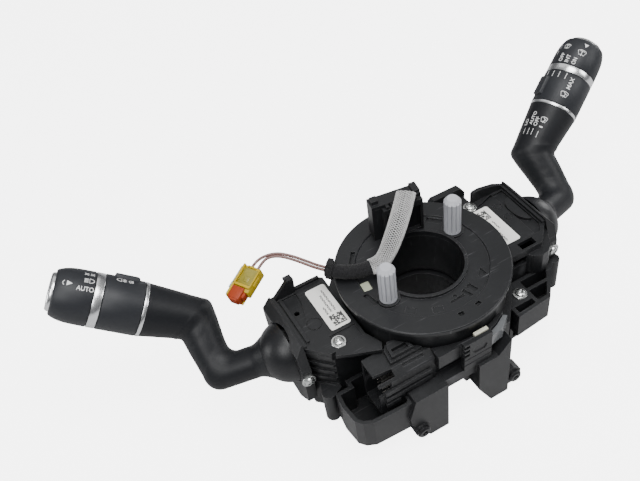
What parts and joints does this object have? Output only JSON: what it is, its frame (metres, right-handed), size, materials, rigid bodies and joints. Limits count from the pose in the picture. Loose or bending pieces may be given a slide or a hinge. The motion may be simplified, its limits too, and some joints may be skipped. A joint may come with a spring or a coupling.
{
  "type": "combination stalk switch",
  "caption": "Steering column stalk switch: a spiral cable rotor with drive pins and an airbag lead sits between a light stalk and a wiper stalk.",
  "frame": {"origin": "centre of the column bore in the plane of the bracket feet", "axes": "+Z along the steering column towards the driver, +X towards the wiper stalk, -Y towards the sensor cover at the front"},
  "size_m": [0.3906, 0.153, 0.1084],
  "materials": {
    "black_plastic": "fine grain",
    "soft_touch": "soft satin",
    "zinc_steel": "zinc plated",
    "black_steel": "black oxide",
    "tin_contact": "tinned",
    "pale_plastic": "satin",
    "yellow_plastic": "semi gloss",
    "orange_plastic": "semi gloss",
    "blue_plastic": "satin",
    "cream_plastic": "semi gloss",
    "smoke_plastic": "smoked",
    "circuit_board": "solder mask",
    "natural_plastic": "satin",
    "ribbon_film": "film",
    "braid": "woven",
    "felt": "felt tape",
    "wire_brown": "thin jacket",
    "label_film": "paper film",
    "chromed_plastic": "polished",
    "bright_steel": "bright"
  },
  "bodies": {
    "base": {"base_housing": "black_plastic", "angle_sensor_board": "circuit_board", "spring_case": "black_plastic", "spiral_ribbon": "ribbon_film", "case_screws": "zinc_steel", "bracket_screws": "black_steel", "connector_shroud": "black_plastic", "contact_pins": "tin_contact", "front_cover": "black_plastic", "sensor_window": "cream_plastic", "light_guide": "smoke_plastic", "light_module_case": "black_plastic", "light_module_cover": "black_plastic", "light_label": "label_film", "light_pivot_frame": "black_plastic", "light_contact_board": "circuit_board", "wiper_module_case": "black_plastic", "wiper_module_cover": "black_plastic", "wiper_label": "label_film", "wiper_pivot_frame": "black_plastic", "wiper_contact_board": "circuit_board"},
    "rotor": {"rotor_disc": "black_plastic", "rotor_hub": "black_plastic", "drive_pins": "pale_plastic", "connector_tower": "black_plastic", "tower_cap": "black_plastic", "braided_sleeve": "braid", "wrapped_loom": "felt", "cable_tie": "black_plastic", "lead_wire_a": "wire_brown", "lead_wire_b": "wire_brown", "airbag_plug": "yellow_plastic", "plug_lock": "orange_plastic", "plug_strip": "blue_plastic"},
    "pinion_a": {"sensor_pinion_a": "natural_plastic"},
    "pinion_b": {"sensor_pinion_b": "natural_plastic"},
    "light_gimbal": {"light_carrier": "black_plastic", "light_cross_pin": "bright_steel", "light_detent_plunger": "natural_plastic"},
    "light_stalk": {"light_lever": "soft_touch", "light_dome": "soft_touch", "light_thin_ring": "chromed_plastic", "light_thick_ring": "chromed_plastic"},
    "light_ring_switch": {"light_collar": "soft_touch"},
    "light_tip_switch": {"light_knob": "soft_touch"},
    "light_tip_button": {"light_end_button": "black_plastic", "light_button_spring": "bright_steel"},
    "wiper_gimbal": {"wiper_carrier": "black_plastic", "wiper_cross_pin": "bright_steel", "wiper_detent_plunger": "natural_plastic"},
    "wiper_stalk": {"wiper_lever": "soft_touch", "wiper_dome": "soft_touch", "wiper_thin_ring": "chromed_plastic", "wiper_thick_ring": "chromed_plastic"},
    "wiper_ring_switch": {"wiper_collar": "soft_touch"},
    "wiper_tip_switch": {"wiper_knob": "soft_touch"},
    "wiper_tip_button": {"wiper_end_button": "black_plastic", "wiper_button_spring": "bright_steel"}
  },
  "joints": [
    {"name": "rotor_turn", "type": "hinge", "parent": "base", "child": "rotor", "pos_m": [0, 0, 0.075], "axis": [0, 0, 1], "range_deg": [-900, 900]},
    {"name": "pinion_a_turn", "type": "hinge", "parent": "base", "child": "pinion_a", "pos_m": [-0.01231, -0.03383, 0.0448], "axis": [0, 0, 1], "range_deg": [-3740, 3740]},
    {"name": "pinion_b_turn", "type": "hinge", "parent": "base", "child": "pinion_b", "pos_m": [0.01231, -0.03383, 0.0448], "axis": [0, 0, 1], "range_deg": [-3740, 3740]},
    {"name": "light_swing", "type": "hinge", "parent": "base", "child": "light_gimbal", "pos_m": [-0.0845, 0.009, 0.047], "axis": [0, 0, 1], "range_deg": [-9, 9]},
    {"name": "light_pull", "type": "hinge", "parent": "light_gimbal", "child": "light_stalk", "pos_m": [-0.0845, 0.009, 0.047], "axis": [0, -1, 0], "range_deg": [-5, 5], "stiffness_Nm_per_rad": 5},
    {"name": "light_ring_turn", "type": "hinge", "parent": "light_stalk", "child": "light_ring_switch", "pos_m": [-0.1232, 0.0528, 0.056], "axis": [-0.7871, 0.3505, 0.5075], "range_deg": [-30, 30]},
    {"name": "light_tip_turn", "type": "hinge", "parent": "light_stalk", "child": "light_tip_switch", "pos_m": [-0.1232, 0.0528, 0.056], "axis": [-0.7871, 0.3505, 0.5075], "range_deg": [-45, 45]},
    {"name": "light_button_press", "type": "slide", "parent": "light_tip_switch", "child": "light_tip_button", "axis": [0.7871, -0.3505, -0.5075], "range_m": [0, 0.0015], "stiffness_N_per_m": 800, "deforming": ["light_button_spring"]},
    {"name": "wiper_swing", "type": "hinge", "parent": "base", "child": "wiper_gimbal", "pos_m": [0.0845, 0.009, 0.047], "axis": [0, 0, 1], "range_deg": [-9, 9]},
    {"name": "wiper_pull", "type": "hinge", "parent": "wiper_gimbal", "child": "wiper_stalk", "pos_m": [0.0845, 0.009, 0.047], "axis": [0, 1, 0], "range_deg": [-5, 5], "stiffness_Nm_per_rad": 5},
    {"name": "wiper_ring_turn", "type": "hinge", "parent": "wiper_stalk", "child": "wiper_ring_switch", "pos_m": [0.1232, 0.0528, 0.056], "axis": [0.7871, 0.3505, 0.5075], "range_deg": [-30, 30]},
    {"name": "wiper_tip_turn", "type": "hinge", "parent": "wiper_stalk", "child": "wiper_tip_switch", "pos_m": [0.1232, 0.0528, 0.056], "axis": [0.7871, 0.3505, 0.5075], "range_deg": [-45, 45]},
    {"name": "wiper_button_press", "type": "slide", "parent": "wiper_tip_switch", "child": "wiper_tip_button", "axis": [-0.7871, -0.3505, -0.5075], "range_m": [0, 0.0015], "stiffness_N_per_m": 800, "deforming": ["wiper_button_spring"]}
  ],
  "couplings": [
    {"joint": "pinion_a_turn", "follows": "rotor_turn", "ratio": -4.1429},
    {"joint": "pinion_b_turn", "follows": "rotor_turn", "ratio": -4.1429}
  ]
}
